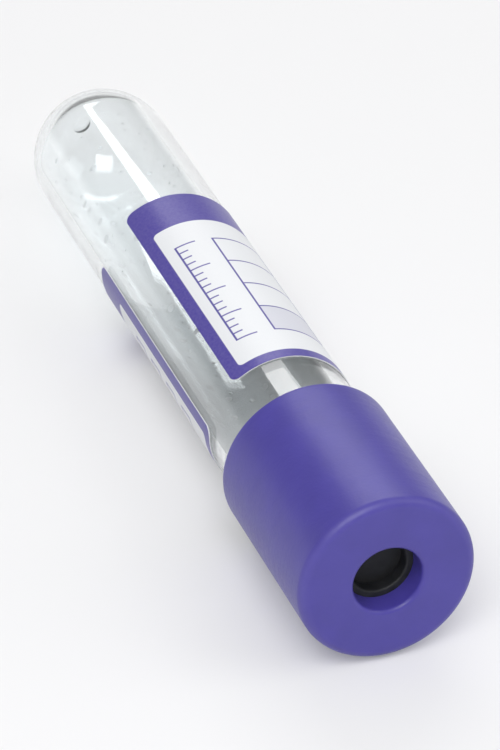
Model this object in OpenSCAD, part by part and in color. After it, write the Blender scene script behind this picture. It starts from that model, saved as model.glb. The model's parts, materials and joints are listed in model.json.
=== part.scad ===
// Evacuated blood collection tube with a pull-off safety cap.
//
// The tube lies on its side as it comes to rest: the foot of the cap's skirt and
// the round end of the tube touch the plane z = 0, so the tube's own axis climbs
// slightly towards +X. The origin is the middle of its footprint.
// Every part is drawn along the tube's axis, with the outside of the round end at
// height 0, and is then laid down by lie_down().

/* [Tube] */
// Outside diameter of the tube
tube_d = 13; // [12:0.5:14]
// Length of the tube, from its round end to its rim
tube_len = 75; // [70:1:100]
// Thickness of the tube's wall
tube_wall = 1; // [0.8:0.1:1.2]
// Diameter of the dimple that the mould's gate leaves in the round end
gate_d = 2; // [1:0.2:3]
// Depth of that dimple, from where a whole round end would reach
gate_depth = 0.3; // [0.2:0.05:0.4]

/* [Cap] */
// Outside diameter of the cap
cap_d = 15.4; // [15.2:0.1:17]
// Height of the cap, from the foot of its skirt to its top
cap_h = 18.6; // [12:0.2:24]
// Thickness of the cap's top
cap_top = 2.2; // [1.6:0.1:3]
// Radius of the round edge at the top
cap_edge_r = 0.8; // [0.3:0.1:1.2]
// Diameter of the needle hole in the top
hole_d = 6; // [4:0.1:8]
// Radius of the round edge of the needle hole
hole_edge_r = 0.4; // [0.1:0.1:0.8]
// Gap between the skirt and the tube
skirt_gap = 0.3; // [0.2:0.05:0.35]

/* [Stopper] */
// Thickness of the flange that lies on the tube's rim
flange_h = 2.15; // [1.5:0.05:3]
// Depth that the plug reaches into the tube
plug_len = 8; // [6:0.5:10]
// Number of sealing beads round the plug
bead_count = 3; // [2:1:4]
// Gap between the beads and the bore of the tube
seal_gap = 0.05; // [0.02:0.01:0.1]
// Diameter of the hollow in the plug's underside
hollow_d = 5.8; // [4:0.2:6.4]
// Depth of that hollow, with its domed end
hollow_len = 5.4; // [3.6:0.2:5.8]
// Diameter of the well in the top, which leads a needle in
well_d = 4.8; // [3:0.1:5]
// Depth of that well
well_depth = 1.2; // [0.6:0.1:1.4]

/* [Label] */
// Distance from the tube's round end to the label
label_start = 25.7; // [16:0.1:27]
// Length of the label along the tube
label_len = 28.8; // [15:0.1:30]
// Angle that the label wraps round the tube
label_wrap = 318; // [180:2:350]
// Direction of the bare strip between the label's ends, from straight up
strip_at = 62; // [-180:1:180]
// Thickness of the label
label_t = 0.1; // [0.06:0.02:0.2]

/* [Additive] */
// Number of dried droplets
drop_count = 48; // [8:1:64]
// Diameter of a droplet
drop_d = 0.9; // [0.4:0.1:1.2]
// Thickness of a droplet
drop_t = 0.12; // [0.06:0.02:0.2]
// Distance from the tube's round end to the first droplet
drop_start = 9; // [8:0.5:14]
// Length of wall that the droplets cover
drop_reach = 38; // [20:1:44]

/* [Hidden] */
$fn = 96;

// Heights along the tube's axis
seat_gap = 0.05; // so that the flange only just clears the rim
rim = tube_len;
seat = rim + seat_gap;
flange_top = seat + flange_h;
cap_crown = flange_top + cap_top;
cap_foot = cap_crown - cap_h;
plug_end = seat - plug_len;

// Tube: from just below the cap up to its rim, the tube is a little slimmer
tube_r = tube_d / 2;
bore_r = tube_r - tube_wall;
lip_r = 0.4 * tube_wall;
neck_relief = 0.05;
neck_taper = 1;
neck_from = cap_foot - 0.8;

// Cap: a bead inside the skirt holds the stopper's flange up against the top
cap_r = cap_d / 2;
hole_r = hole_d / 2;
skirt_r = tube_r + skirt_gap;
flange_r = tube_r + 0.4;
groove_r = flange_r + 0.05;
catch_r = tube_r + 0.15;
catch_h = 0.6;
catch_lead = 0.5;
foot_r = min(0.3, (cap_r - skirt_r) / 3);

// Stopper: beads stand out from the plug, and its end is tapered to lead it in
seal_r = bore_r - seal_gap;
bead_rise = 0.25;
plug_r = seal_r - bead_rise;
bead_flat = 0.7;
lead_in = 1.2;
bead_pitch = (plug_len - lead_in) / bead_count;
flange_edge_r = 0.35;
hollow_r = hollow_d / 2;
well_r = min(well_d / 2, hole_r - hole_edge_r);
well_edge_r = 0.2;

// Label and droplets stand off the walls by the thickness of their adhesive film
film = 0.02;
drop_r = drop_d / 2;
golden_turn = 360 * (1 - 1 / ((1 + sqrt(5)) / 2));

// Turn of each moulded piece about its own axis, so that the seam along its surface
// misses the line that the tube lies on
seam_turn = 2;

// Resting: the round end and the edge of the skirt's foot both touch the plane,
// which sets how far the axis leans
rest_run = cap_foot + foot_r - tube_r;
rest_rise = cap_r - foot_r;
lean = acos((tube_r - foot_r) / norm([rest_run, rest_rise])) - atan2(rest_run, rest_rise);
rear_x = tube_r * cos(lean) - tube_r;
front_x = (cap_crown - cap_edge_r) * cos(lean) + (cap_r - cap_edge_r) * sin(lean) + cap_edge_r;
centre_x = (rear_x + front_x) / 2;
lift = tube_r - tube_r * sin(lean);

// Points of a round stretch of an outline
function arc(centre, r, from, to, steps = 8) = [
  for (i = [0:steps]) let (a = from + (to - from) * i / steps) centre + r * [cos(a), sin(a)]
];

// Lays down what is drawn upright, with its top towards +X
module lie_down() {
  translate([-centre_x, 0, lift]) rotate([0, 90 - lean, 0]) children();
}

// A moulded piece: its outline, turned about the axis and laid down
module moulded(outline) {
  lie_down() rotate([0, 0, seam_turn]) rotate_extrude() polygon(outline);
}

// Clear tube: round end with the gate's dimple, slimmer neck under the cap, rounded rim
module tube() {
  dome_steps = 24;
  gate_r = gate_d / 2;
  neck_r = tube_r - neck_relief;
  outline = concat(
    [[0, gate_depth], [gate_r - gate_depth, gate_depth]],
    arc([0, tube_r], tube_r, -acos(gate_r / tube_r), 0, dome_steps),
    [[tube_r, neck_from], [neck_r, neck_from + neck_taper]],
    arc([neck_r - lip_r, rim - lip_r], lip_r, 0, 90),
    arc([bore_r + lip_r, rim - lip_r], lip_r, 90, 180),
    arc([0, tube_r], bore_r, 0, -90, dome_steps)
  );
  color("lightcyan", 0.5) moulded(outline);
}

// Printed label, wrapped round the tube with a bare strip between its ends
module label() {
  color("white")
    lie_down()
      rotate([0, 0, 180 + strip_at + (360 - label_wrap) / 2])
        rotate_extrude(angle = label_wrap)
          translate([tube_r + film, label_start]) square([label_t, label_len]);
}

// Dried additive: flat droplets spread over the inner wall by the golden angle
module additive() {
  drop_out = bore_r - film;
  color("whitesmoke")
    lie_down()
      intersection() {
        translate([0, 0, drop_start - drop_d])
          rotate_extrude() translate([drop_out - drop_t, 0]) square([drop_t, drop_reach + 2 * drop_d]);
        for (i = [0:drop_count - 1])
          translate([0, 0, drop_start + drop_reach * i / drop_count])
            rotate([0, 90, i * golden_turn]) cylinder(r = drop_r, h = tube_r);
      }
}

// Cap: plain skirt, thick top with the needle hole, and the catch inside
module safety_cap() {
  outline = concat(
    arc([cap_r - foot_r, cap_foot + foot_r], foot_r, -90, 0),
    arc([cap_r - cap_edge_r, cap_crown - cap_edge_r], cap_edge_r, 0, 90),
    arc([hole_r + hole_edge_r, cap_crown - hole_edge_r], hole_edge_r, 90, 180),
    [
      [hole_r, flange_top],
      [groove_r, flange_top],
      [groove_r, seat],
      [catch_r, seat],
      [catch_r, seat - catch_h],
      [skirt_r, seat - catch_h - catch_lead],
      [skirt_r, cap_foot + foot_r],
      [skirt_r + foot_r, cap_foot]
    ]
  );
  color([0.35, 0.32, 0.64]) moulded(outline);
}

// Rubber stopper: flange with a needle well, beaded plug, hollow underside with a domed end
module stopper() {
  beads = [
    for (i = [0:bead_count - 1])
      let (top = seat - lead_in / 2 - i * bead_pitch)
        each [
          [plug_r, top],
          [seal_r, top - bead_rise],
          [seal_r, top - bead_rise - bead_flat],
          [plug_r, top - 2 * bead_rise - bead_flat]
        ]
  ];
  outline = concat(
    [[0, flange_top - well_depth], [well_r, flange_top - well_depth]],
    arc([well_r + well_edge_r, flange_top - well_edge_r], well_edge_r, 180, 90),
    arc([flange_r - flange_edge_r, flange_top - flange_edge_r], flange_edge_r, 90, 0),
    arc([flange_r - flange_edge_r, seat + flange_edge_r], flange_edge_r, 0, -90),
    [[plug_r, seat]],
    beads,
    [[plug_r, plug_end + lead_in / 2], [plug_r - lead_in / 3, plug_end], [hollow_r, plug_end]],
    arc([0, plug_end + hollow_len - hollow_r], hollow_r, 0, 90, 12)
  );
  color([0.1, 0.12, 0.14]) moulded(outline);
}

tube();
label();
additive();
safety_cap();
stopper();
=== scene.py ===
"""Looks of an evacuated blood collection tube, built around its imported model.

Every piece is drawn in millimetres in the tube's own frame: Z runs up the axis from the
outside of the round end, +X is the side that the tube lies on and +Y is the model's +Y.
A Lie then lays the finished mesh down in the model's frame, in metres.
"""

import json
import logging
import math
import random
from dataclasses import dataclass, replace
from enum import Enum
from typing import Any, ClassVar, Iterable, Optional, Union

import bmesh
import bpy
from mathutils import Matrix, Vector


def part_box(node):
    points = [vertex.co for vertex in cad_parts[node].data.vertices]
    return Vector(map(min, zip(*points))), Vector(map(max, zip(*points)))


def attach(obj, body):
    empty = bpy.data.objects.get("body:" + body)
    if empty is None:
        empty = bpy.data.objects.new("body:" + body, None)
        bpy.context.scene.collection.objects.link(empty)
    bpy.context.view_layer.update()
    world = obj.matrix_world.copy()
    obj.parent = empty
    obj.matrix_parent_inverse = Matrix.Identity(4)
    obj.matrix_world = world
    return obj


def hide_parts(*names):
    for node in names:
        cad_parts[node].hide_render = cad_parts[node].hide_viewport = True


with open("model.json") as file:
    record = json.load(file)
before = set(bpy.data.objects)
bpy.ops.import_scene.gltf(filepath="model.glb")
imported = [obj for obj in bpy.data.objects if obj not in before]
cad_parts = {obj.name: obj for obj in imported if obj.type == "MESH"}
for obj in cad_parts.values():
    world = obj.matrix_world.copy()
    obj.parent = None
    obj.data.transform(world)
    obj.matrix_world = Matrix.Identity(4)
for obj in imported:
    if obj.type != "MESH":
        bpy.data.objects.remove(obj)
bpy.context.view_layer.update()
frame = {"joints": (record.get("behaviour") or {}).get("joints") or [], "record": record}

MM = 0.001
NOISE_MIDDLE = 0.5
NOISE_RANGE = (0.3, 0.7)
LOG = logging.getLogger("blood_tube")
Rgb = tuple[float, float, float]
Pair = tuple[float, float]


class Body(Enum):
    """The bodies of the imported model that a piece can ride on."""

    TUBE = "tube_body"
    CLOSURE = "closure"


class Slot(Enum):
    """The material slots that a piece can take its finish from."""

    CLEAR = "clear_pet"
    LABEL = "label_paper"
    SALT = "dried_salt"
    CAP = "violet_cap"
    RUBBER = "black_rubber"


# ---- place and shape


@dataclass(frozen=True)
class Lie:
    """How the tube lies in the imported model.

    Attributes:
        foot: Where the axis leaves the round end, in metres.
        up: Direction of the axis, towards the cap.
        tube_r: Outside radius of the tube, in millimetres.
    """

    foot: Vector
    up: Vector
    tube_r: float

    @classmethod
    def from_frame(cls) -> "Lie":
        """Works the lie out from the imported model's mounts and joint.

        The round end rests on the floor, so its centre is the point of the axis that is
        one radius above the floor.

        Returns:
            The lie of the tube.
        """
        mount = named_mount("tube_body")
        up = Vector(frame["joints"][0]["axis"]).normalized()
        radius = mount["dims"]["r_mm"]
        on_axis = Vector(mount["pos_m"])
        centre = on_axis + up * ((radius * MM - on_axis.z) / up.z)
        return cls(centre - up * (radius * MM), up, radius)

    @property
    def turn(self) -> float:
        """Angle about +Y that lays the upright tube down, in radians."""
        return math.atan2(self.up.x, self.up.z)

    def matrix(self) -> Matrix:
        """The transform from the tube's own frame, in millimetres, to the model's, in metres."""
        laid = Matrix.Rotation(self.turn, 4, "Y") @ Matrix.Scale(MM, 4)
        return Matrix.Translation(self.foot) @ laid

    def height(self, point: Iterable[float]) -> float:
        """Height of a point of the model along the tube's axis, in millimetres."""
        return (Vector(point) - self.foot).dot(self.up) / MM

    def reach(self, node: str, radius: float) -> tuple[float, float]:
        """Finds the heights between which a round node with flat ends stands.

        Args:
            node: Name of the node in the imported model.
            radius: Its radius, in millimetres.

        Returns:
            The heights of its two ends along the axis, in millimetres.
        """
        low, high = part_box(node)
        tipped = radius * self.up.z
        start = ((low.x - self.foot.x) / MM + tipped) / self.up.x
        end = ((high.x - self.foot.x) / MM - tipped) / self.up.x
        return start, end


def named_mount(name: str) -> dict[str, Any]:
    """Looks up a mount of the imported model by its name."""
    return next(mount for mount in frame["record"]["mounts"] if mount["name"] == name)


class Outline:
    """An outline in the X-Z plane, drawn with a moving tip and then turned about the axis."""

    STEPS = 192
    MERGE = 1e-4

    def __init__(self, radius: float, height: float) -> None:
        """Sets the tip down at a radius from the axis and a height along it."""
        self.mesh = bmesh.new()
        self.tip = bmesh.ops.create_vert(self.mesh, co=(radius, 0.0, height))["vert"][0]

    def _step(self, place: Vector) -> None:
        """Draws the tip straight to a place."""
        self.tip = bmesh.ops.extrude_vert_indiv(self.mesh, verts=[self.tip])["verts"][0]
        self.tip.co = place

    def to(self, radius: float, height: float, hold: float = 0.0) -> None:
        """Draws a straight stretch.

        Args:
            radius: Radius at which the stretch ends.
            height: Height at which it ends.
            hold: Distance from either end at which a holding loop stands, or 0 for none.
        """
        start, end = self.tip.co.copy(), Vector((radius, 0.0, height))
        if hold:
            inwards = (end - start).normalized() * hold
            self._step(start + inwards)
            self._step(end - inwards)
        self._step(end)

    def arc(self, radius: float, height: float, degrees: float, steps: int = 8) -> None:
        """Draws a round stretch.

        Args:
            radius: Radius at which the arc's centre stands.
            height: Height of that centre.
            degrees: Angle of the arc, positive when it climbs on its outer side.
            steps: Number of straight steps that it is made of.
        """
        swept = bmesh.ops.spin(
            self.mesh, geom=[self.tip], cent=(radius, 0.0, height), axis=(0.0, -1.0, 0.0),
            angle=math.radians(degrees), steps=steps, use_merge=False, use_duplicate=False,
        )
        self.tip = swept["geom_last"][0]

    def turned(self) -> bmesh.types.BMesh:
        """Turns the outline about the axis, all the way round.

        Returns:
            The closed shell, with its faces outwards.
        """
        bmesh.ops.spin(
            self.mesh, geom=self.mesh.verts[:] + self.mesh.edges[:], cent=(0.0, 0.0, 0.0),
            axis=(0.0, 0.0, 1.0), angle=math.tau, steps=self.STEPS, use_merge=True,
            use_duplicate=False,
        )
        bmesh.ops.remove_doubles(self.mesh, verts=self.mesh.verts, dist=self.MERGE)
        bmesh.ops.recalc_face_normals(self.mesh, faces=self.mesh.faces)
        return self.mesh


# ---- shader maths


class Signal:
    """A socket of a node tree that works like a number in Python expressions."""

    def __init__(self, board: "Board", socket: bpy.types.NodeSocket) -> None:
        """Wraps an output socket of a board."""
        self.board = board
        self.socket = socket

    def __add__(self, other: "Number") -> "Signal":
        """Adds the other."""
        return self.board.math("ADD", self, other)

    def __sub__(self, other: "Number") -> "Signal":
        """Subtracts the other."""
        return self.board.math("SUBTRACT", self, other)

    def __rsub__(self, other: "Number") -> "Signal":
        """Subtracts from the other."""
        return self.board.math("SUBTRACT", other, self)

    def __mul__(self, other: "Number") -> "Signal":
        """Multiplies by the other."""
        return self.board.math("MULTIPLY", self, other)

    def __mod__(self, other: "Number") -> "Signal":
        """Gives what is left after whole steps of the other."""
        return self.board.math("FLOORED_MODULO", self, other)

    def __rmod__(self, other: "Number") -> "Signal":
        """Gives what is left of the other after whole steps."""
        return self.board.math("FLOORED_MODULO", other, self)

    def __and__(self, other: "Number") -> "Signal":
        """Gives the lower of two masks, which is where both are."""
        return self.board.math("MINIMUM", self, other)

    def __or__(self, other: "Number") -> "Signal":
        """Gives the higher of two masks, which is where either is."""
        return self.board.math("MAXIMUM", self, other)

    def __abs__(self) -> "Signal":
        """Drops the sign."""
        return self.board.math("ABSOLUTE", self)

    __radd__ = __add__
    __rmul__ = __mul__
    __rand__ = __and__
    __ror__ = __or__

    def ramped(self, start: float, end: float) -> "Signal":
        """Climbs from 0 at start to 1 at end, and stays there."""
        return self.board.math("DIVIDE", self - start, end - start, clamp=True)

    def swung(self, span: float) -> "Signal":
        """Makes a noise swing about 0, over a span."""
        return (self - NOISE_MIDDLE) * span


Number = Union[Signal, float]
Feed = Union[Signal, bpy.types.NodeSocket, float, Iterable[float]]


class Board:
    """A node tree that is wired up from Python expressions."""

    MIX_FACTOR, MIX_A, MIX_B, MIX_OUT = 0, 6, 7, 2

    def __init__(self, tree: bpy.types.NodeTree) -> None:
        """Empties the tree."""
        self.tree = tree
        tree.nodes.clear()

    def add(
        self, kind: str, inputs: Optional[dict[Union[str, int], Feed]] = None, **settings: Any
    ) -> bpy.types.Node:
        """Adds a node.

        Args:
            kind: The node's type.
            inputs: Values and links for its sockets, by name or place.
            **settings: Its own settings, which are made first.

        Returns:
            The new node.
        """
        node = self.tree.nodes.new(kind)
        for name, setting in settings.items():
            setattr(node, name, setting)
        for name, value in (inputs or {}).items():
            self.feed(node.inputs[name], value)
        return node

    def feed(self, socket: bpy.types.NodeSocket, value: Feed) -> None:
        """Links something to an input, or sets a plain value on it.

        Args:
            socket: The input.
            value: A signal or an output socket to link, or a number, colour or vector to set.
        """
        if isinstance(value, Signal):
            value = value.socket
        if isinstance(value, bpy.types.NodeSocket):
            self.tree.links.new(value, socket)
        elif isinstance(value, (int, float)):
            socket.default_value = value
        else:
            values = tuple(value)
            colour = socket.type == "RGBA" and len(values) == 3
            socket.default_value = (*values, 1.0) if colour else values

    def math(self, operation: str, *values: Number, clamp: bool = False) -> Signal:
        """Adds a Math node.

        Args:
            operation: What it works out.
            values: The one or two values that it takes.
            clamp: Whether its answer is kept between 0 and 1.

        Returns:
            Its answer.
        """
        terms = dict(enumerate(values))
        node = self.add("ShaderNodeMath", terms, operation=operation, use_clamp=clamp)
        return Signal(self, node.outputs[0])

    def mix(self, factor: Number, low: Feed, high: Feed) -> bpy.types.NodeSocket:
        """Mixes two colours, from the low one at 0 to the high one at 1."""
        terms = {self.MIX_FACTOR: factor, self.MIX_A: low, self.MIX_B: high}
        return self.add("ShaderNodeMix", terms, data_type="RGBA").outputs[self.MIX_OUT]

    def split(self, vector: Feed) -> list[Signal]:
        """Takes a vector apart into its three numbers."""
        node = self.add("ShaderNodeSeparateXYZ", {0: vector})
        return [Signal(self, socket) for socket in node.outputs]

    def bump(self, height: Number) -> bpy.types.NodeSocket:
        """Turns a height in millimetres into a normal."""
        terms = {"Strength": 1.0, "Distance": MM, "Height": height}
        return self.add("ShaderNodeBump", terms).outputs[0]

    def shown(self) -> Signal:
        """Masks the rays that show a thing: straight, mirrored or through something clear.

        Returns:
            The mask, which is 0 for the rays that only light it.
        """
        rays = self.add("ShaderNodeLightPath").outputs
        straight, mirrored, through = (
            Signal(self, rays[kind])
            for kind in ("Is Camera Ray", "Is Glossy Ray", "Is Transmission Ray")
        )
        return straight | mirrored | through

    def finish(self, shader: bpy.types.Node) -> None:
        """Links a shader to the material's output."""
        self.add("ShaderNodeOutputMaterial", {"Surface": shader.outputs[0]})


@dataclass(frozen=True)
class Grain:
    """A noise that makes a material uneven.

    Attributes:
        waves: How many of its waves fit into a millimetre.
        detail: How many finer noises are laid over it.
        depth_mm: Depth that it gives the surface.
        sheen: Span that it gives the roughness.
        stretch: Factors for the number of waves along X, Y and Z, where those differ.
    """

    waves: float
    detail: float = 3.0
    depth_mm: float = 0.0
    sheen: float = 0.0
    stretch: Optional[tuple[float, float, float]] = None


class PieceBoard(Board):
    """The board of a piece's material, which knows the place in the tube's own frame."""

    def __init__(self, tree: bpy.types.NodeTree, lie: Lie) -> None:
        """Empties the tree and finds the place, in millimetres.

        Args:
            tree: The node tree.
            lie: How the tube lies.
        """
        super().__init__(tree)
        place = self.add("ShaderNodeTexCoord").outputs["Object"]
        laid = (0.0, lie.turn, 0.0)
        terms = {"Vector": place, "Location": lie.foot, "Rotation": laid, "Scale": (MM, MM, MM)}
        self.where = self.add("ShaderNodeMapping", terms, vector_type="TEXTURE").outputs[0]

    def noise(self, grain: Grain) -> Signal:
        """Adds a noise, which mostly stays within NOISE_RANGE.

        Args:
            grain: How fine it is.

        Returns:
            The noise.
        """
        place = self.where
        if grain.stretch:
            terms = {0: place, 1: grain.stretch}
            place = self.add("ShaderNodeVectorMath", terms, operation="MULTIPLY").outputs[0]
        terms = {"Vector": place, "Scale": grain.waves, "Detail": grain.detail}
        return Signal(self, self.add("ShaderNodeTexNoise", terms).outputs[0])


def new_material(name: str) -> bpy.types.Material:
    """Makes a material that has nodes.

    Args:
        name: Its name.

    Returns:
        The material.
    """
    made = bpy.data.materials.new(name)
    made.use_nodes = True
    return made


# ---- finishes


def toned(colour: Rgb, factor: float) -> Rgb:
    """Makes a colour brighter or darker."""
    red, green, blue = colour
    return red * factor, green * factor, blue * factor


@dataclass(frozen=True)
class Finish:
    """What a piece's material is made from."""

    name: ClassVar[str]

    def shader(self, board: PieceBoard) -> bpy.types.Node:
        """Wires the shader on a board."""
        raise NotImplementedError

    def material(self, lie: Lie) -> bpy.types.Material:
        """Builds the material.

        Args:
            lie: How the tube lies, which places the pattern.

        Returns:
            The material.
        """
        made = new_material(self.name)
        board = PieceBoard(made.node_tree, lie)
        board.finish(self.shader(board))
        return made


@dataclass(frozen=True)
class PatchyFinish(Finish):
    """A matt finish of one colour, with patches of another.

    Attributes:
        plain: Its colour.
        patched: Its colour where a patch is full.
        roughness: Its mean roughness.
        patches: The patches.
        fade: Values of their noise between which they come up.
        fine: The fine grain.
        dulled: What a full patch adds to the roughness.
        ior: Refractive index.
        cover: Share of what lies behind it that it hides.
    """

    plain: Rgb
    patched: Rgb
    roughness: float
    patches: Grain
    fade: Pair
    fine: Grain
    dulled: float = 0.0
    ior: float = 1.5
    cover: float = 1.0

    def shader(self, board: PieceBoard) -> bpy.types.Node:
        """Wires the shader.

        Args:
            board: The board to wire it on.

        Returns:
            The shader.
        """
        patches, fine = board.noise(self.patches), board.noise(self.fine)
        patch = patches.ramped(*self.fade)
        uneven = patches.swung(self.patches.sheen) + fine.swung(self.fine.sheen)
        return board.add(
            "ShaderNodeBsdfPrincipled",
            {
                "Base Color": board.mix(patch, self.plain, self.patched),
                "Roughness": self.roughness + patch * self.dulled + uneven,
                "IOR": self.ior,
                "Alpha": self.cover,
                "Normal": board.bump(fine * self.fine.depth_mm),
            },
        )


@dataclass(frozen=True)
class BlackRubber(PatchyFinish):
    """Moulded black rubber with dusty patches, for the stopper."""

    name: ClassVar[str] = "black_rubber"
    plain: Rgb = (0.011, 0.012, 0.013)
    patched: Rgb = (0.0224, 0.024, 0.0256)
    roughness: float = 0.58
    patches: Grain = Grain(1.2, 4.0)
    fade: Pair = (0.4, 0.7)
    fine: Grain = Grain(7.0, 2.0, depth_mm=0.008, sheen=0.15)
    dulled: float = 0.1
    ior: float = 1.52


@dataclass(frozen=True)
class LabelBack(PatchyFinish):
    """The glued back and the cut edge of the label's paper."""

    name: ClassVar[str] = "label_back"
    plain: Rgb = (0.6882, 0.6975, 0.7115)
    patched: Rgb = (0.74, 0.75, 0.765)
    roughness: float = 0.55
    patches: Grain = Grain(0.8, 4.0, sheen=0.2)
    fade: Pair = (0.35, 0.65)
    fine: Grain = Grain(5.0, depth_mm=0.006)


@dataclass(frozen=True)
class DriedSalt(PatchyFinish):
    """Thin white crust of dried salt, for the additive."""

    name: ClassVar[str] = "dried_salt"
    plain: Rgb = (0.731, 0.748, 0.765)
    patched: Rgb = (0.86, 0.88, 0.9)
    roughness: float = 0.5
    patches: Grain = Grain(9.0, sheen=0.3)
    fade: Pair = (0.0, 1.0)
    fine: Grain = Grain(9.0, depth_mm=0.02)
    cover: float = 0.6


@dataclass(frozen=True)
class SatinPolyethylene(Finish):
    """Satin polyethylene, coloured right through, for the cap, with a paler top edge that is
    painted highlight and wear.

    Attributes:
        crown: Height of the cap's top, in millimetres.
        radius: Outside radius of the cap, in millimetres.
        colour: Its violet.
        spread: Share by which the colour wanders.
        lit_and_scuffed_violet: The paler violet of its rounded top edge, a painted highlight with
            wear in it.
        edge_paling: Share of that violet where the pale edge is full.
        dulled: What the full pale edge adds to the roughness.
        edge_band_mm: Width of the pale edge.
        lip_mm: Height of the edge's top stretch, which is pale evenly.
        edge_levels: The least share of the pale edge, and what the patches add to it.
        roughness: Mean roughness.
        cloud: What the colour wanders by.
        mould: The fine grain that the mould leaves.
        rubs: Rub marks, which run round the cap.
        patches: Patches of wear in the pale edge.
    """

    name: ClassVar[str] = "satin_violet_polyethylene"
    crown: float
    radius: float
    colour: Rgb = (0.066, 0.052, 0.32)
    spread: float = 0.05
    lit_and_scuffed_violet: Rgb = (0.15, 0.13, 0.43)
    edge_paling: float = 0.35
    dulled: float = 0.08
    edge_band_mm: float = 0.9
    lip_mm: float = 0.2
    edge_levels: Pair = (0.35, 0.8)
    roughness: float = 0.38
    cloud: Grain = Grain(0.35, depth_mm=0.03)
    mould: Grain = Grain(4.0, depth_mm=0.01, sheen=0.15)
    rubs: Grain = Grain(1.0, sheen=0.14, stretch=(0.12, 0.12, 3.0))
    patches: Grain = Grain(1.6)

    def shader(self, board: PieceBoard) -> bpy.types.Node:
        """Wires the shader.

        Args:
            board: The board to wire it on.

        Returns:
            The shader.
        """
        across, along, up = board.split(board.where)
        from_axis = board.math("SQRT", across * across + along * along)
        cloud = board.noise(self.cloud)
        mould = board.noise(self.mould)
        uneven = mould.swung(self.mould.sheen) + board.noise(self.rubs).swung(self.rubs.sheen)
        deep, pale = (toned(self.colour, 1.0 + way * self.spread) for way in (-1, 1))
        outer = from_axis.ramped(self.radius - self.edge_band_mm, self.radius)
        upper = up.ramped(self.crown - self.edge_band_mm, self.crown - self.lip_mm)
        least, more = self.edge_levels
        # Paler, slightly rougher band along the rounded top edge, even all round: a painted
        # highlight, with patches of wear in it.
        lit_and_worn_edge = outer * upper * (least + board.noise(self.patches) * more)
        plain = board.mix(cloud.ramped(*NOISE_RANGE), deep, pale)
        return board.add(
            "ShaderNodeBsdfPrincipled",
            {
                "Base Color": board.mix(lit_and_worn_edge * self.edge_paling, plain, self.lit_and_scuffed_violet),
                "Roughness": self.roughness + uneven + lit_and_worn_edge * self.dulled,
                "IOR": 1.51,
                "Subsurface Weight": 0.12,
                "Subsurface Radius": (0.9, 0.7, 1.2),
                "Subsurface Scale": MM,
                "Normal": board.bump(mould * self.mould.depth_mm + cloud * self.cloud.depth_mm),
            },
        )


@dataclass(frozen=True)
class ClearPolyester(Finish):
    """Clear moulded polyester, for the tube. Shadows fall through it.

    Attributes:
        colour: Its faint tint.
        roughness: Roughness of its polish.
        ior: Refractive index.
        clarity: Share of the light that goes on through its surface; the rest is a faint haze.
        waves: The faint waves that moulding leaves in its surface.
        passed: What its surface lets through into its shadow, each time that it is crossed.
    """

    name: ClassVar[str] = "clear_polyester"
    colour: Rgb = (0.955, 0.975, 0.98)
    roughness: float = 0.02
    ior: float = 1.575
    clarity: float = 0.975
    waves: Grain = Grain(0.22, 1.0, depth_mm=0.003)
    passed: Rgb = (0.925, 0.94, 0.945)

    def shader(self, board: PieceBoard) -> bpy.types.Node:
        """Wires the shader.

        Args:
            board: The board to wire it on.

        Returns:
            The shader.
        """
        glass = board.add(
            "ShaderNodeBsdfPrincipled",
            {
                "Base Color": self.colour,
                "Roughness": self.roughness,
                "IOR": self.ior,
                "Transmission Weight": self.clarity,
                "Normal": board.bump(board.noise(self.waves) * self.waves.depth_mm),
            },
        )
        passed = board.add("ShaderNodeBsdfTransparent", {"Color": self.passed})
        shadow = board.add("ShaderNodeLightPath").outputs["Is Shadow Ray"]
        terms = {0: shadow, 1: glass.outputs[0], 2: passed.outputs[0]}
        return board.add("ShaderNodeMixShader", terms)


@dataclass(frozen=True)
class Stencil:
    """Masks for print on a flat sheet, in millimetres.

    Attributes:
        board: The board that the masks are wired on.
        across: Place round the tube, from the middle of the print.
        up: Place along the tube, from there too.
        soft: Half of the width over which an ink edge fades.
    """

    board: Board
    across: Signal
    up: Signal
    soft: float = 0.03

    def box(self, side: float, size: Pair, height: float = 0.0, corner: float = 0.04) -> Signal:
        """Masks a rectangle with round corners.

        Args:
            side: Where its middle is, round the tube.
            size: Its width and height.
            height: Where its middle is, along the tube.
            corner: Radius of its corners.

        Returns:
            The mask, which is 1 inside.
        """
        beside = (abs(self.across - side) - (size[0] / 2 - corner)) | 0.0
        beyond = (abs(self.up - height) - (size[1] / 2 - corner)) | 0.0
        off = self.board.math("SQRT", beside * beside + beyond * beyond)
        return 1.0 - off.ramped(corner - self.soft, corner + self.soft)

    def rim(self, side: float, size: Pair, line: float) -> Signal:
        """Masks a rectangle's outline, with a line of a set width inside its edge."""
        inside = (size[0] - 2 * line, size[1] - 2 * line)
        return self.box(side, size) & (1.0 - self.box(side, inside))

    def stacked(self, pitch: float, first: float = 0.0) -> "Stencil":
        """Repeats what is drawn at height 0 once in every pitch, from the first."""
        return replace(self, up=(self.up - first + pitch / 2) % pitch - pitch / 2)


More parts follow.
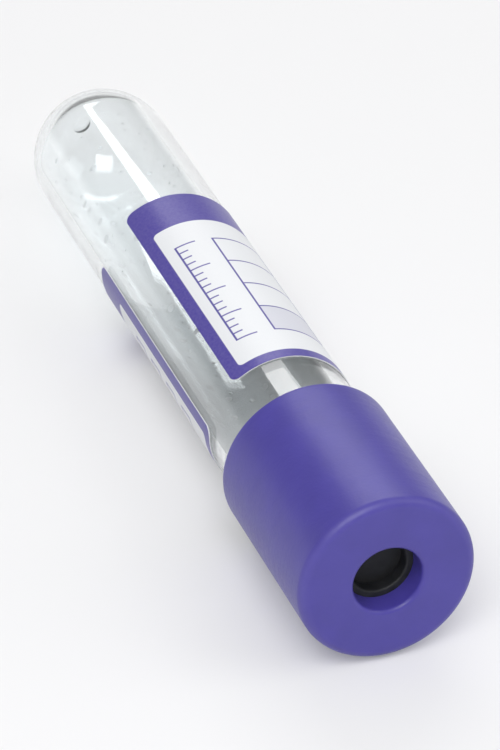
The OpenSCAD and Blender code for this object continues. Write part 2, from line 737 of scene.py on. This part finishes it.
@dataclass(frozen=True)
class LabelPrint(Finish):
    """Coated paper, printed with a plain violet form in three windows.

    Attributes:
        length: Size of the label round the tube, in millimetres.
        height: Its size along the tube.
        band: Height of the solid band at its lower edge.
        stroke: Width of the frame along its other edges.
        divider: Width of the strokes between the windows.
        corner: Radius of the windows' corners.
        margin: Space between a window's side and what is printed in it.
        gap: Space between a box to tick and the line beside it.
        hairline: Width of the ruled lines.
        row: Height of a row of the form.
        rows: Number of rows.
        tick_box: Width of a box to tick.
        cell: Width of the table beside the filling scale.
        mark: Length of the scale's long marks.
        steps: Number of the scale's marks in a row.
        tint: Share of ink in the tinted row.
        paper: Colour of the coated paper.
        mottle: Share by which its fibres darken it.
        ink: Colour of the ink.
        cover: Share of the paper that full ink hides.
        patchy: Span of that share.
        ink_mm: Thickness of the ink.
        roughness: Mean roughness of the paper.
        gloss: How much less the ink has.
        fibre: Grain of the paper.
        blots: Patches of the ink.
    """

    name: ClassVar[str] = "printed_label"
    length: float
    height: float
    band: float = 4.9
    stroke: float = 1.2
    divider: float = 0.8
    corner: float = 0.5
    margin: float = 1.0
    gap: float = 0.7
    hairline: float = 0.18
    row: float = 4.0
    rows: int = 4
    tick_box: float = 2.3
    cell: float = 5.4
    mark: float = 2.0
    steps: int = 4
    tint: float = 0.18
    paper: Rgb = (0.81, 0.825, 0.85)
    mottle: float = 0.04
    ink: Rgb = (0.065, 0.045, 0.32)
    cover: float = 0.96
    patchy: float = 0.12
    ink_mm: float = 0.004
    roughness: float = 0.46
    gloss: float = 0.12
    fibre: Grain = Grain(6.0, 4.0, depth_mm=0.006, sheen=0.1)
    blots: Grain = Grain(4.0)

    @property
    def window(self) -> Pair:
        """Width and height of a window."""
        wide = (self.length - 2 * (self.stroke + self.divider)) / 3
        return wide, self.height - self.band - self.stroke

    @property
    def pitch(self) -> float:
        """Distance between the middles of two windows."""
        return self.window[0] + self.divider

    @property
    def reach(self) -> float:
        """Distance from a window's middle to the side of what is printed in it."""
        return self.window[0] / 2 - self.margin

    @property
    def tall(self) -> float:
        """Height of all the rows, with the line that closes them."""
        return self.row * self.rows + self.hairline

    def frame(self, sheet: Stencil) -> Signal:
        """Masks the frame, which is all but the windows.

        Args:
            sheet: The label's stencil.

        Returns:
            The mask.
        """
        windows = sheet.box(0.0, self.window, corner=self.corner)
        for side in (-self.pitch, self.pitch):
            windows = windows | sheet.box(side, self.window, corner=self.corner)
        return 1.0 - windows

    def writing(self, sheet: Stencil) -> Signal:
        """Masks the lines to write on.

        Args:
            sheet: The label's stencil.

        Returns:
            The mask.
        """
        wide = 2 * self.reach
        lines = sheet.stacked(self.row).box(0.0, (wide, self.hairline))
        return lines & sheet.box(0.0, (wide, self.tall))

    def choices(self, sheet: Stencil) -> Signal:
        """Masks the boxes to tick, each with a line beside it.

        Args:
            sheet: The label's stencil.

        Returns:
            The mask.
        """
        left, right = -self.pitch - self.reach, -self.pitch + self.reach
        start = left + self.tick_box + self.gap
        foot = (self.hairline - self.tick_box) / 2
        stack = sheet.stacked(self.row, self.row / 2)
        boxes = stack.rim(left + self.tick_box / 2, (self.tick_box, self.tick_box), self.hairline)
        lines = stack.box((start + right) / 2, (right - start, self.hairline), foot)
        rows = sheet.box(-self.pitch, (self.window[0], self.tall))
        return (boxes | lines) & rows

    def scale(self, sheet: Stencil) -> Signal:
        """Masks the filling scale, with a long mark at each row of the table.

        Args:
            sheet: The label's stencil.

        Returns:
            The mask.
        """
        side = self.pitch + self.reach
        post = sheet.box(side - self.hairline / 2, (self.hairline, self.tall))
        short, long = (
            sheet.stacked(pitch).box(side - mark / 2, (mark, self.hairline))
            for pitch, mark in ((self.row / self.steps, self.mark / 2), (self.row, self.mark))
        )
        marks = (short | long) & sheet.box(side, (2 * self.mark, self.tall))
        return post | marks

    def table(self, sheet: Stencil) -> Signal:
        """Masks the table beside the scale, whose first row is tinted.

        Args:
            sheet: The label's stencil.

        Returns:
            The mask, which is between 0 and 1 where the ink is a tint.
        """
        side = self.pitch - self.reach + self.cell / 2
        first = self.row * (self.rows - 1) / 2
        outer = sheet.rim(side, (self.cell, self.tall), self.hairline)
        rules = sheet.stacked(self.row).box(side, (self.cell, self.hairline))
        inside = sheet.box(side, (self.cell, self.tall))
        tinted = sheet.box(side, (self.cell, self.row), first) * self.tint
        return outer | (rules & inside) | tinted

    def form(self, sheet: Stencil) -> Signal:
        """Masks everything that is printed, from 0 on bare paper to 1 on full ink."""
        lines = self.writing(sheet) | self.choices(sheet) | self.scale(sheet) | self.table(sheet)
        return self.frame(sheet) | lines

    def shader(self, board: PieceBoard) -> bpy.types.Node:
        """Wires the shader.

        Args:
            board: The board to wire it on.

        Returns:
            The shader.
        """
        sheet = board.add("ShaderNodeUVMap", uv_map=WrappedLabel.UV).outputs[0]
        across, up, _ = board.split(sheet)
        ink = self.form(Stencil(board, across, up - (self.band - self.stroke) / 2))
        fibre = board.noise(self.fibre)
        covered = ink * (self.cover + board.noise(self.blots).swung(self.patchy))
        paper = board.mix(fibre, toned(self.paper, 1.0 - self.mottle), self.paper)
        return board.add(
            "ShaderNodeBsdfPrincipled",
            {
                "Base Color": board.mix(covered, paper, self.ink),
                "Roughness": self.roughness - ink * self.gloss + fibre.swung(self.fibre.sheen),
                "IOR": 1.5,
                "Normal": board.bump(fibre * self.fibre.depth_mm + ink * self.ink_mm),
            },
        )


# ---- sub-assemblies


def put(name: str, data: bpy.types.ID) -> bpy.types.Object:
    """Adds an object to the scene, at its origin.

    Args:
        name: Its name.
        data: Its mesh, lamp or camera.

    Returns:
        The object.
    """
    made = bpy.data.objects.new(name, data)
    bpy.context.scene.collection.objects.link(made)
    return made


@dataclass
class SubAssembly:
    """Pieces that belong together and move with one body.

    Attributes:
        lie: How the tube lies.
    """

    lie: Lie
    body: ClassVar[Body] = Body.TUBE

    def settle(
        self, mesh: bmesh.types.BMesh, name: str, node: str, slot: Slot, *finishes: Finish,
        sharp: float = 32.0,
    ) -> None:
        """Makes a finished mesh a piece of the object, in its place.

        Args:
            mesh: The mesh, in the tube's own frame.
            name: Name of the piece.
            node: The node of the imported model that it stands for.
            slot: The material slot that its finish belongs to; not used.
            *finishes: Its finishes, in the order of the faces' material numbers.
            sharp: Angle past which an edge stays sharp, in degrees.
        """
        bmesh.ops.transform(mesh, matrix=self.lie.matrix(), verts=mesh.verts)
        for face in mesh.faces:
            face.smooth = True
        data = bpy.data.meshes.new(name)
        mesh.to_mesh(data)
        mesh.free()
        data.set_sharp_from_angle(angle=math.radians(sharp))
        for finish in finishes:
            data.materials.append(finish.material(self.lie))
        piece = put(name, data)
        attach(piece, self.body.value)
        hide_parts(node)
        LOG.info("%s: %d faces on %s", name, len(data.polygons), self.body.value)


@dataclass
class ClearTube(SubAssembly):
    """The clear tube: round end with the gate's dimple, slim neck, rounded rim."""

    length: float = 75.0
    wall: float = 1.0
    gate_r: float = 1.0
    gate_depth: float = 0.3
    neck_from: float = 60.0
    neck_taper: float = 1.0
    neck_relief: float = 0.05
    lip_share: float = 0.4
    gate_steps: int = 10
    dome_steps: int = 36
    hold: float = 0.8

    def shell(self) -> bmesh.types.BMesh:
        """Turns the tube's wall.

        Returns:
            The tube's mesh, upright.
        """
        outer = self.lie.tube_r
        inner = outer - self.wall
        neck = outer - self.neck_relief
        lip = self.lip_share * self.wall
        gate = math.degrees(math.asin(self.gate_r / outer))
        sunk = self.gate_depth - (outer - math.sqrt(outer**2 - self.gate_r**2))
        dish_r = (self.gate_r**2 + sunk**2) / (2 * sunk)
        dish = math.degrees(math.asin(self.gate_r / dish_r))
        drawn = Outline(0.0, self.gate_depth)
        drawn.arc(0.0, self.gate_depth - dish_r, -dish, self.gate_steps)
        drawn.arc(0.0, outer, 90.0 - gate, self.dome_steps)
        drawn.to(outer, self.neck_from, self.hold)
        drawn.to(neck, self.neck_from + self.neck_taper)
        drawn.to(neck, self.length - lip, self.hold)
        drawn.arc(neck - lip, self.length - lip, 90.0)
        drawn.to(inner + lip, self.length)
        drawn.arc(inner + lip, self.length - lip, 90.0)
        drawn.to(inner, outer, self.hold)
        drawn.arc(0.0, outer, -90.0, self.dome_steps)
        return drawn.turned()

    def build(self) -> None:
        """Makes the tube and dresses it."""
        self.settle(self.shell(), "clear_tube", "tube", Slot.CLEAR, ClearPolyester())


@dataclass
class WrappedLabel(SubAssembly):
    """The printed label, wrapped round the tube with a bare strip between its ends."""

    UV: ClassVar[str] = "print"
    wrap: float = 318.0
    strip_at: float = 62.0
    thickness: float = 0.1
    corner_r: float = 0.9
    slices: int = 144

    def __post_init__(self) -> None:
        """Takes the label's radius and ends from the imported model."""
        self.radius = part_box("label")[1].y / MM
        self.start, self.end = self.lie.reach("label", self.radius)
        self.length = self.radius * math.radians(self.wrap)
        self.height = self.end - self.start

    def sheet(self) -> bmesh.types.BMesh:
        """Cuts the flat label, with round corners, in slices that can be bent.

        Returns:
            The flat sheet, with the coordinates of its print.
        """
        mesh = bmesh.new()
        bmesh.ops.create_grid(mesh, x_segments=1, y_segments=1, size=0.5)
        bmesh.ops.scale(mesh, vec=(self.length, self.height, 1.0), verts=mesh.verts)
        bmesh.ops.bevel(
            mesh, geom=mesh.verts[:], offset=self.corner_r, segments=8, profile=0.5,
            affect="VERTICES", material=-1,
        )
        for k in range(1, self.slices):
            cut = self.length * (k / self.slices - 0.5)
            bmesh.ops.bisect_plane(
                mesh, geom=mesh.verts[:] + mesh.edges[:] + mesh.faces[:], dist=1e-5,
                plane_co=(cut, 0.0, 0.0), plane_no=(1.0, 0.0, 0.0),
            )
        placed = mesh.loops.layers.uv.new(self.UV)
        for face in mesh.faces:
            for loop in face.loops:
                loop[placed].uv = loop.vert.co.xy
        return mesh

    def thicken(self, mesh: bmesh.types.BMesh) -> None:
        """Gives the flat sheet its thickness, and all but its front the second material.

        Args:
            mesh: The flat sheet.
        """
        grown = bmesh.ops.extrude_face_region(mesh, geom=mesh.faces[:], use_keep_orig=True)
        raised = [part for part in grown["geom"] if isinstance(part, bmesh.types.BMVert)]
        bmesh.ops.translate(mesh, vec=(0.0, 0.0, self.thickness), verts=raised)
        bmesh.ops.recalc_face_normals(mesh, faces=mesh.faces)
        for face in mesh.faces:
            face.material_index = 0 if face.normal.z > 0.5 else 1

    def bend(self, mesh: bmesh.types.BMesh) -> None:
        """Wraps the flat label round the tube.

        Args:
            mesh: The flat label, with its thickness.
        """
        middle = math.radians(self.strip_at)
        inner = self.radius - self.thickness
        centre = (self.start + self.end) / 2
        for vert in mesh.verts:
            turn = middle + vert.co.x / self.radius
            reach = inner + vert.co.z
            vert.co = (reach * math.cos(turn), reach * math.sin(turn), centre + vert.co.y)

    def build(self) -> None:
        """Makes the label and dresses it."""
        mesh = self.sheet()
        self.thicken(mesh)
        self.bend(mesh)
        printed = LabelPrint(self.length, self.height)
        self.settle(mesh, "wrapped_label", "label", Slot.LABEL, printed, LabelBack())


@dataclass
class DriedAdditive(SubAssembly):
    """Dried droplets of additive, sprayed over the lower part of the inner wall."""

    wall_r: float = 5.48
    first: float = 8.5
    last: float = 47.5
    count: int = 260
    thickest: float = 0.09
    thickness_shares: Pair = (0.6, 1.0)
    widest: float = 0.42
    narrowest_share: float = 0.25
    length_shares: Pair = (0.8, 1.3)
    scatter: float = 0.4
    seed: int = 7

    def droplets(self) -> bmesh.types.BMesh:
        """Sprays the droplets, by the golden angle with a little scatter.

        Returns:
            The mesh of all of them.
        """
        rng = random.Random(self.seed)
        golden = math.pi * (3.0 - math.sqrt(5.0))
        mesh = bmesh.new()
        for k in range(self.count):
            height = self.first + (self.last - self.first) * (k + rng.random()) / self.count
            share = self.narrowest_share + (1.0 - self.narrowest_share) * rng.random() ** 2
            across = self.widest * share
            along = across * rng.uniform(*self.length_shares)
            flat = self.thickest / 2 * rng.uniform(*self.thickness_shares)
            turn = k * golden + rng.uniform(-self.scatter, self.scatter)
            place = (
                Matrix.Rotation(turn, 4, "Z")
                @ Matrix.Translation((self.wall_r - flat, 0.0, height))
                @ Matrix.Diagonal((flat, across, along, 1.0))
                @ Matrix.Rotation(math.pi / 2, 4, "Y")
            )
            bmesh.ops.create_uvsphere(mesh, u_segments=10, v_segments=4, radius=1.0, matrix=place)
        return mesh

    def build(self) -> None:
        """Makes the droplets and dresses them."""
        self.settle(
            self.droplets(), "dried_additive", "additive", Slot.SALT, DriedSalt(), sharp=80.0
        )


@dataclass
class Closure(SubAssembly):
    """The pull-off cap and the rubber stopper that it holds."""

    body: ClassVar[Body] = Body.CLOSURE
    cap_h: float = 18.6
    cap_top: float = 2.2
    crown_edge_r: float = 0.8
    hole_r: float = 3.0
    hole_edge_r: float = 0.4
    skirt_gap: float = 0.3
    foot_r: float = 0.3
    flange_h: float = 2.15
    flange_out: float = 0.4
    flange_edge_r: float = 0.35
    groove_gap: float = 0.05
    catch_out: float = 0.15
    catch_h: float = 0.6
    catch_lead: float = 0.5
    plug_len: float = 8.0
    seal_r: float = 5.45
    bead_rise: float = 0.25
    bead_half: float = 0.6
    bead_count: int = 3
    lead_in: float = 1.2
    hollow_r: float = 2.9
    hollow_len: float = 5.4
    well_edge_r: float = 0.2
    hold: float = 0.5

    def __post_init__(self) -> None:
        """Takes the cap's radius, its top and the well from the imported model."""
        self.cap_r = named_mount("cap_skirt")["dims"]["r_mm"]
        self.crown = self.lie.height(named_mount("cap_top")["pos_m"])
        well = named_mount("needle_port")
        self.well_r = well["dims"]["r_mm"]
        self.well_floor = self.lie.height(well["pos_m"]) - well["dims"]["length_mm"] / 2
        self.flange_top = self.crown - self.cap_top
        self.seat = self.flange_top - self.flange_h
        self.cap_foot = self.crown - self.cap_h

    def cap(self) -> bmesh.types.BMesh:
        """Turns the cap: plain skirt, thick top with the needle hole, catch inside.

        Returns:
            The cap's mesh, upright.
        """
        skirt = self.lie.tube_r + self.skirt_gap
        groove = self.lie.tube_r + self.flange_out + self.groove_gap
        catch = self.lie.tube_r + self.catch_out
        edge, lip, round_r = self.crown_edge_r, self.hole_edge_r, self.foot_r
        drawn = Outline(self.cap_r - round_r, self.cap_foot)
        drawn.arc(self.cap_r - round_r, self.cap_foot + round_r, 90.0)
        drawn.to(self.cap_r, self.crown - edge, self.hold)
        drawn.arc(self.cap_r - edge, self.crown - edge, 90.0, steps=14)
        drawn.to(self.hole_r + lip, self.crown, self.hold)
        drawn.arc(self.hole_r + lip, self.crown - lip, 90.0, steps=10)
        drawn.to(self.hole_r, self.flange_top)
        drawn.to(groove, self.flange_top)
        drawn.to(groove, self.seat)
        drawn.to(catch, self.seat)
        drawn.to(catch, self.seat - self.catch_h)
        drawn.to(skirt, self.seat - self.catch_h - self.catch_lead)
        drawn.to(skirt, self.cap_foot + round_r, self.hold)
        drawn.to(skirt + round_r, self.cap_foot)
        drawn.to(self.cap_r - round_r, self.cap_foot)
        return drawn.turned()

    def stopper(self) -> bmesh.types.BMesh:
        """Turns the stopper: flange with the needle well, beaded plug, hollow underside.

        Returns:
            The stopper's mesh, upright.
        """
        flange = self.lie.tube_r + self.flange_out
        edge, lip = self.flange_edge_r, self.well_edge_r
        plug = self.seal_r - self.bead_rise
        plug_end = self.seat - self.plug_len
        dome = plug_end + self.hollow_len - self.hollow_r
        pitch = (self.plug_len - self.lead_in) / self.bead_count
        bead_r = (self.bead_half**2 + self.bead_rise**2) / (2 * self.bead_rise)
        bead_turn = 2 * math.degrees(math.asin(self.bead_half / bead_r))
        drawn = Outline(0.0, self.well_floor)
        drawn.to(self.well_r, self.well_floor)
        drawn.to(self.well_r, self.flange_top - lip)
        drawn.arc(self.well_r + lip, self.flange_top - lip, -90.0, steps=6)
        drawn.to(flange - edge, self.flange_top, self.hold)
        drawn.arc(flange - edge, self.flange_top - edge, -90.0)
        drawn.to(flange, self.seat + edge)
        drawn.arc(flange - edge, self.seat + edge, -90.0)
        drawn.to(plug, self.seat)
        for k in range(self.bead_count):
            middle = self.seat - self.lead_in / 2 - k * pitch - self.bead_half
            drawn.to(plug, middle + self.bead_half)
            drawn.arc(self.seal_r - bead_r, middle, -bead_turn, steps=12)
        drawn.to(plug, plug_end + self.lead_in / 2)
        drawn.to(plug - self.lead_in / 3, plug_end)
        drawn.to(self.hollow_r, plug_end)
        drawn.to(self.hollow_r, dome, self.hold)
        drawn.arc(0.0, dome, 90.0, steps=20)
        return drawn.turned()

    def build(self) -> None:
        """Makes the cap and the stopper and dresses them."""
        satin = SatinPolyethylene(self.crown, self.cap_r)
        self.settle(self.cap(), "violet_pull_cap", "safety_cap", Slot.CAP, satin)
        self.settle(self.stopper(), "rubber_stopper", "stopper", Slot.RUBBER, BlackRubber())


# ---- studio


@dataclass(frozen=True)
class Stand:
    """Where the camera or a lamp stands, as its target sees it.

    Attributes:
        azimuth: Its direction, from -Y towards +X, in degrees.
        elevation: Its height above the floor, in degrees.
        distance: Its distance, in metres.
    """

    azimuth: float
    elevation: float
    distance: float

    def face(self, thing: bpy.types.Object, target: Vector) -> None:
        """Puts the camera or a lamp there, facing its target.

        Args:
            thing: The camera or the lamp.
            target: The target, in metres.
        """
        turn, rise = math.radians(self.azimuth), math.radians(self.elevation)
        flat = math.cos(rise)
        back = Vector((math.sin(turn) * flat, -math.cos(turn) * flat, math.sin(rise)))
        thing.location = target + back * self.distance
        thing.rotation_euler = (-back).to_track_quat("-Z", "Y").to_euler()


@dataclass(frozen=True)
class SoftBox:
    """A soft rectangular lamp.

    Attributes:
        name: Its name.
        stand: Where it stands.
        size: Its width and height, in metres.
        power: Its power, in watts.
    """

    name: str
    stand: Stand
    size: Pair
    power: float


@dataclass
class Studio:
    """Pale floor, soft lamps, white surroundings and the camera.

    Attributes:
        lie: How the tube lies.
        stand: Where the camera stands.
        view_height: Height of what it sees at its target, in metres.
        clip: Distances between which it sees anything, in metres.
        aim_at: Height of the target along the tube's axis, in millimetres.
        floor_r: Radius of the floor, in metres.
        floor_colour: Colour of the floor.
        whitened: Share of plain white in what the floor shows near the tube.
        fades_white: Distances between which the floor fades to white, in metres.
        world_light: Strength of the light from the horizon and from straight above.
        horizon: Height at which the surroundings have turned from white to grey, up to 1.
        sky: Brightness of that grey.
        lamps: The soft lamps.
    """

    lie: Lie
    stand: Stand = Stand(70.0, 34.0, 0.4)
    view_height: float = 0.065
    clip: Pair = (0.01, 20.0)
    aim_at: float = 46.5
    floor_r: float = 0.5
    floor_colour: Rgb = (0.82, 0.82, 0.83)
    whitened: float = 0.2
    fades_white: Pair = (0.07, 0.35)
    world_light: Pair = (0.2, 0.62)
    horizon: float = 0.15
    sky: float = 0.25
    lamps: tuple[SoftBox, ...] = (
        SoftBox("key", Stand(62.0, 52.0, 0.7), (0.45, 0.45), 3.0),
        SoftBox("fill", Stand(150.0, 35.0, 0.8), (0.5, 0.5), 1.2),
        SoftBox("back", Stand(250.0, 40.0, 0.8), (0.6, 0.2), 1.5),
    )

    @property
    def target(self) -> Vector:
        """The point of the tube's axis that the camera and the lamps face."""
        return self.lie.foot + self.lie.up * (self.aim_at * MM)

    def place_camera(self) -> None:
        """Sets up the camera that looks down on the cap's end of the tube."""
        data = bpy.data.cameras.new("camera")
        data.lens = data.sensor_width * self.stand.distance / self.view_height
        data.clip_start, data.clip_end = self.clip
        camera = put("camera", data)
        self.stand.face(camera, self.target)
        bpy.context.scene.camera = camera

    def place_lamps(self) -> None:
        """Sets up the soft lamps."""
        for lamp in self.lamps:
            data = bpy.data.lights.new(lamp.name, "AREA")
            data.shape = "RECTANGLE"
            data.size, data.size_y = lamp.size
            data.energy = lamp.power
            light = put(lamp.name, data)
            light.visible_camera = False
            lamp.stand.face(light, self.target)

    def floor_finish(self) -> bpy.types.Material:
        """Builds the floor's pale finish, which turns white further out.

        Returns:
            The material.
        """
        made = new_material("pale_floor")
        board = Board(made.node_tree)
        across, along, _ = board.split(board.add("ShaderNodeTexCoord").outputs["Object"])
        away = board.math("SQRT", across * across + along * along).ramped(*self.fades_white)
        whitened = self.whitened + away * (1.0 - self.whitened)
        matt = board.add("ShaderNodeBsdfDiffuse", {"Color": self.floor_colour})
        white = board.add("ShaderNodeEmission")
        terms = {0: board.shown() * whitened, 1: matt.outputs[0], 2: white.outputs[0]}
        board.finish(board.add("ShaderNodeMixShader", terms))
        return made

    def lay_floor(self) -> None:
        """Lays the floor that the tube lies on."""
        mesh = bmesh.new()
        bmesh.ops.create_circle(mesh, cap_ends=True, radius=self.floor_r, segments=96)
        data = bpy.data.meshes.new("floor")
        mesh.to_mesh(data)
        mesh.free()
        data.materials.append(self.floor_finish())
        floor = put("floor", data)

    def light_world(self) -> None:
        """Lights the surroundings softly from above.

        They show white up to the horizon and grey above it, which gives clear things edges.
        """
        world = bpy.data.worlds.new("surroundings")
        world.use_nodes = True
        bpy.context.scene.world = world
        board = Board(world.node_tree)
        _, _, rise = board.split(board.add("ShaderNodeTexCoord").outputs["Generated"])
        low, high = self.world_light
        light = low + rise.ramped(0.0, 1.0) * (high - low)
        soft = board.add("ShaderNodeBackground", {"Color": light})
        look = 1.0 - rise.ramped(0.0, self.horizon) * (1.0 - self.sky)
        seen = board.add("ShaderNodeBackground", {"Color": look})
        terms = {0: board.shown(), 1: soft.outputs[0], 2: seen.outputs[0]}
        shader = board.add("ShaderNodeMixShader", terms)
        board.add("ShaderNodeOutputWorld", {"Surface": shader.outputs[0]})

    def build(self) -> None:
        """Sets up the whole studio."""
        bpy.context.scene.view_settings.view_transform = "Standard"
        self.light_world()
        self.lay_floor()
        self.place_lamps()
        self.place_camera()
        LOG.info("studio: %d lamps", len(self.lamps))


def main() -> None:
    """Builds every sub-assembly and the studio."""
    logging.basicConfig(level=logging.INFO, format="%(message)s")
    lie = Lie.from_frame()
    for part in (ClearTube(lie), WrappedLabel(lie), DriedAdditive(lie), Closure(lie)):
        part.build()
    Studio(lie).build()


if __name__ == "__main__":
    main()
